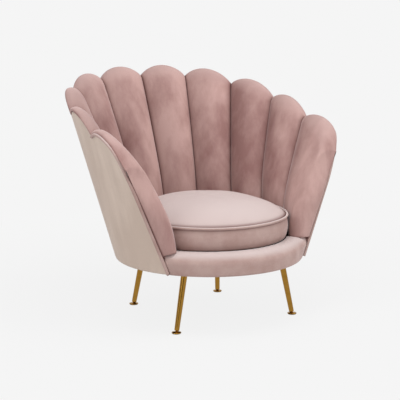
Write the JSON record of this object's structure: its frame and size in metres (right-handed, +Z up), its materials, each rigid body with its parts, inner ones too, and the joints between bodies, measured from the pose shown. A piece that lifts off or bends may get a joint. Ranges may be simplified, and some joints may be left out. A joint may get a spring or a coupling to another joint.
{
  "type": "scallop back chair",
  "caption": "Round tub armchair with a flared back of padded scalloped channels, a loose round seat cushion and four splayed brass legs with levelling feet.",
  "frame": {"origin": "middle of the chair's plan, on the floor", "axes": "+Z up; the open front faces -Y and the back +Y; x = 0 is the plane of symmetry, +X on the sitter's left"},
  "size_m": [0.8444, 0.7657, 0.7698],
  "materials": {
    "velvet": "pale dusty-pink velvet with a soft sheen",
    "beech": "planed beech, unfinished",
    "plywood": "birch plywood, sanded",
    "webbing": "woven elastic strap",
    "foam": "open-cell upholstery foam",
    "lining_cloth": "black non-woven lining cloth",
    "brass": "polished brass plate over steel tube",
    "zinc_steel": "zinc-plated steel",
    "glide_plastic": "moulded nylon"
  },
  "bodies": {
    "chair": {"outer_cover": "velvet", "shell_board": "plywood", "rib_back": "beech", "rib_left_shoulder": "beech", "rib_left_arm": "beech", "arm_post_left": "beech", "rib_right_shoulder": "beech", "rib_right_arm": "beech", "arm_post_right": "beech", "channel_left_middle": "velvet", "channel_right_middle": "velvet", "channel_left_back": "velvet", "channel_right_back": "velvet", "channel_left_shoulder": "velvet", "channel_right_shoulder": "velvet", "channel_left_side": "velvet", "channel_right_side": "velvet", "channel_left_arm": "velvet", "channel_right_arm": "velvet", "arm_welt_left": "velvet", "arm_welt_right": "velvet", "base_board": "plywood", "dust_cover": "lining_cloth", "seat_rail_back": "beech", "seat_rail_left": "beech", "seat_rail_front": "beech", "seat_rail_right": "beech", "shelf_ring": "plywood", "webbing_lengthwise": "webbing", "webbing_crosswise": "webbing", "deck_pad": "foam", "deck_cover": "lining_cloth", "front_apron": "velvet", "leg_front_left": "brass", "leg_front_right": "brass", "leg_back_left": "brass", "leg_back_right": "brass", "foot_inserts": "zinc_steel", "leg_screws": "zinc_steel"},
    "cushion": {"seat_cushion": "velvet", "cushion_piping": "velvet"},
    "foot_front_left": {"levelling_foot_front_left": "brass", "glide_front_left": "glide_plastic"},
    "foot_front_right": {"levelling_foot_front_right": "brass", "glide_front_right": "glide_plastic"},
    "foot_back_left": {"levelling_foot_back_left": "brass", "glide_back_left": "glide_plastic"},
    "foot_back_right": {"levelling_foot_back_right": "brass", "glide_back_right": "glide_plastic"}
  },
  "joints": [
    {"name": "cushion_lift", "type": "slide", "parent": "chair", "child": "cushion", "axis": [0, 0, 1], "range_m": [0, 0.5]},
    {"name": "foot_front_left_screw", "type": "slide", "parent": "chair", "child": "foot_front_left", "axis": [-0.1966, -0.0677, -0.9781], "range_m": [0, 0.008]},
    {"name": "foot_front_right_screw", "type": "slide", "parent": "chair", "child": "foot_front_right", "axis": [0.1966, -0.0677, -0.9781], "range_m": [0, 0.008]},
    {"name": "foot_back_left_screw", "type": "slide", "parent": "chair", "child": "foot_back_left", "axis": [-0.1175, 0.1716, -0.9781], "range_m": [0, 0.008]},
    {"name": "foot_back_right_screw", "type": "slide", "parent": "chair", "child": "foot_back_right", "axis": [0.1175, 0.1716, -0.9781], "range_m": [0, 0.008]}
  ]
}
